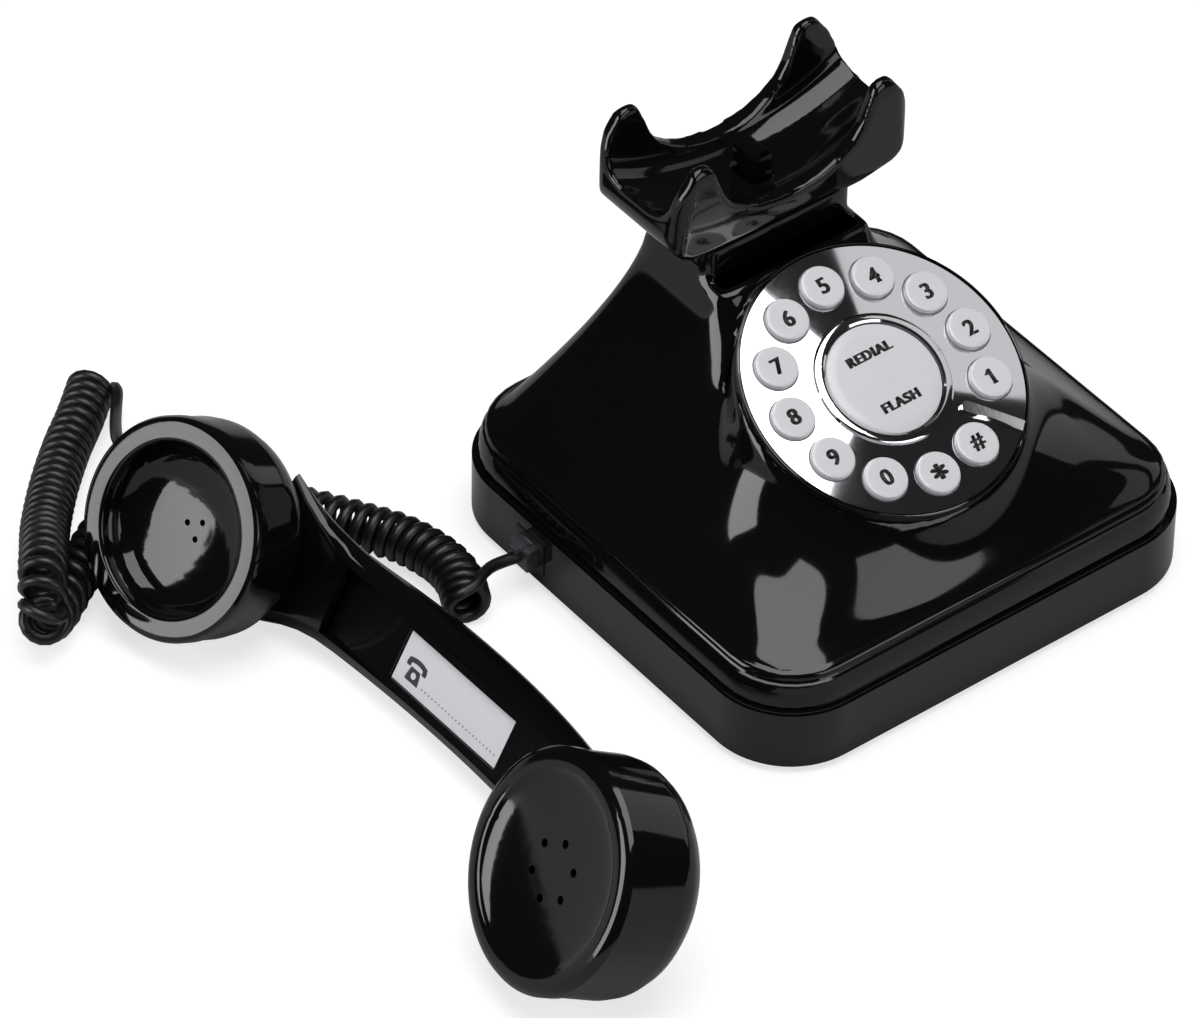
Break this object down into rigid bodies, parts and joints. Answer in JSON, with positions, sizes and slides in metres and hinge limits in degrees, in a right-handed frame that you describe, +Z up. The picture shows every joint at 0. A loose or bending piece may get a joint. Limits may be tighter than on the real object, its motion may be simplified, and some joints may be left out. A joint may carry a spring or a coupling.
{
  "type": "desk telephone",
  "caption": "Retro desk telephone with a flared base, horned cradle, round ring of push buttons with a rocker in the middle, a corded handset lying beside it and a curly cord.",
  "frame": {"origin": "middle of the footprint of the base and the handset that lies on its left, on the surface they lie on; the cord isn't counted", "axes": "+Z up, +Y towards the back of the base, +X to the right of a user who faces the dial"},
  "size_m": [0.2796, 0.2904, 0.1314],
  "materials": {
    "black_gloss": "polished moulded plastic",
    "black_rubber": "matt rubber",
    "chrome": "bright plated face",
    "white_plastic": "white moulded plastic",
    "steel": "plain plated steel",
    "board_green": "circuit board",
    "part_grey": "grey component housings",
    "dark_plastic": "dark moulded plastic",
    "silicone": "pale silicone rubber",
    "label_paper": "white card",
    "clear_plastic": "clear moulded plastic",
    "cord_black": "smooth cord jacket"
  },
  "bodies": {
    "base": {"base_tray": "black_gloss", "base_feet": "black_rubber", "ballast_plate": "steel", "main_board": "board_green", "board_parts": "part_grey", "ringer_capsule": "dark_plastic", "line_jack": "dark_plastic", "handset_jack": "dark_plastic", "upper_housing": "black_gloss", "housing_screws": "steel", "hook_bracket": "steel", "hook_switch": "part_grey", "cradle": "black_gloss", "cradle_screws": "steel", "dial_bezel": "black_gloss", "dial_plate": "chrome", "finger_stop": "chrome", "dial_collar": "chrome", "key_mat": "silicone", "key_board": "board_green", "dial_screws": "steel", "cord_plug_base": "clear_plastic", "cord_tail_base": "cord_black", "cord_coil": "cord_black"},
    "key_1": {"key_1": "white_plastic"},
    "key_2": {"key_2": "white_plastic"},
    "key_3": {"key_3": "white_plastic"},
    "key_4": {"key_4": "white_plastic"},
    "key_5": {"key_5": "white_plastic"},
    "key_6": {"key_6": "white_plastic"},
    "key_7": {"key_7": "white_plastic"},
    "key_8": {"key_8": "white_plastic"},
    "key_9": {"key_9": "white_plastic"},
    "key_0": {"key_0": "white_plastic"},
    "key_star": {"key_star": "white_plastic"},
    "key_hash": {"key_hash": "white_plastic"},
    "centre_button": {"centre_button": "white_plastic"},
    "hook_plunger": {"hook_plunger": "black_gloss"},
    "ringer_knob": {"ringer_knob": "black_gloss"},
    "tone_knob": {"tone_knob": "black_gloss"},
    "handset": {"handset_shell": "black_gloss", "ear_cap": "black_gloss", "mouth_cap": "black_gloss", "receiver": "part_grey", "microphone": "part_grey", "handset_panel": "black_gloss", "label_card": "label_paper", "label_window": "clear_plastic", "handset_weight": "steel", "handset_screws": "steel", "handset_end_jack": "dark_plastic", "cord_plug_handset": "clear_plastic", "cord_tail_handset": "cord_black"}
  },
  "joints": [
    {"name": "key_1_press", "type": "slide", "parent": "base", "child": "key_1", "axis": [0, 0.4321, -0.9018], "range_m": [0, 0.0016], "stiffness_N_per_m": 400, "springref_m": -0.0008},
    {"name": "key_2_press", "type": "slide", "parent": "base", "child": "key_2", "axis": [0, 0.4321, -0.9018], "range_m": [0, 0.0016], "stiffness_N_per_m": 400, "springref_m": -0.0008},
    {"name": "key_3_press", "type": "slide", "parent": "base", "child": "key_3", "axis": [0, 0.4321, -0.9018], "range_m": [0, 0.0016], "stiffness_N_per_m": 400, "springref_m": -0.0008},
    {"name": "key_4_press", "type": "slide", "parent": "base", "child": "key_4", "axis": [0, 0.4321, -0.9018], "range_m": [0, 0.0016], "stiffness_N_per_m": 400, "springref_m": -0.0008},
    {"name": "key_5_press", "type": "slide", "parent": "base", "child": "key_5", "axis": [0, 0.4321, -0.9018], "range_m": [0, 0.0016], "stiffness_N_per_m": 400, "springref_m": -0.0008},
    {"name": "key_6_press", "type": "slide", "parent": "base", "child": "key_6", "axis": [0, 0.4321, -0.9018], "range_m": [0, 0.0016], "stiffness_N_per_m": 400, "springref_m": -0.0008},
    {"name": "key_7_press", "type": "slide", "parent": "base", "child": "key_7", "axis": [0, 0.4321, -0.9018], "range_m": [0, 0.0016], "stiffness_N_per_m": 400, "springref_m": -0.0008},
    {"name": "key_8_press", "type": "slide", "parent": "base", "child": "key_8", "axis": [0, 0.4321, -0.9018], "range_m": [0, 0.0016], "stiffness_N_per_m": 400, "springref_m": -0.0008},
    {"name": "key_9_press", "type": "slide", "parent": "base", "child": "key_9", "axis": [0, 0.4321, -0.9018], "range_m": [0, 0.0016], "stiffness_N_per_m": 400, "springref_m": -0.0008},
    {"name": "key_0_press", "type": "slide", "parent": "base", "child": "key_0", "axis": [0, 0.4321, -0.9018], "range_m": [0, 0.0016], "stiffness_N_per_m": 400, "springref_m": -0.0008},
    {"name": "key_star_press", "type": "slide", "parent": "base", "child": "key_star", "axis": [0, 0.4321, -0.9018], "range_m": [0, 0.0016], "stiffness_N_per_m": 400, "springref_m": -0.0008},
    {"name": "key_hash_press", "type": "slide", "parent": "base", "child": "key_hash", "axis": [0, 0.4321, -0.9018], "range_m": [0, 0.0016], "stiffness_N_per_m": 400, "springref_m": -0.0008},
    {"name": "centre_button_rock", "type": "hinge", "parent": "base", "child": "centre_button", "pos_m": [0.05195, -0.01245, 0.06793], "axis": [1, 0, 0], "range_deg": [-3, 3], "stiffness_Nm_per_rad": 0.6},
    {"name": "hook_press", "type": "slide", "parent": "base", "child": "hook_plunger", "axis": [0, 0, -1], "range_m": [0, 0.005], "stiffness_N_per_m": 150, "springref_m": -0.002},
    {"name": "ringer_knob_slide", "type": "slide", "parent": "base", "child": "ringer_knob", "axis": [1, 0, 0], "range_m": [-0.002, 0.002]},
    {"name": "tone_knob_slide", "type": "slide", "parent": "base", "child": "tone_knob", "axis": [1, 0, 0], "range_m": [-0.002, 0.002]},
    {"name": "handset_lift", "type": "slide", "parent": "base", "child": "handset", "axis": [0, 0, 1], "range_m": [0, 0.12]}
  ]
}
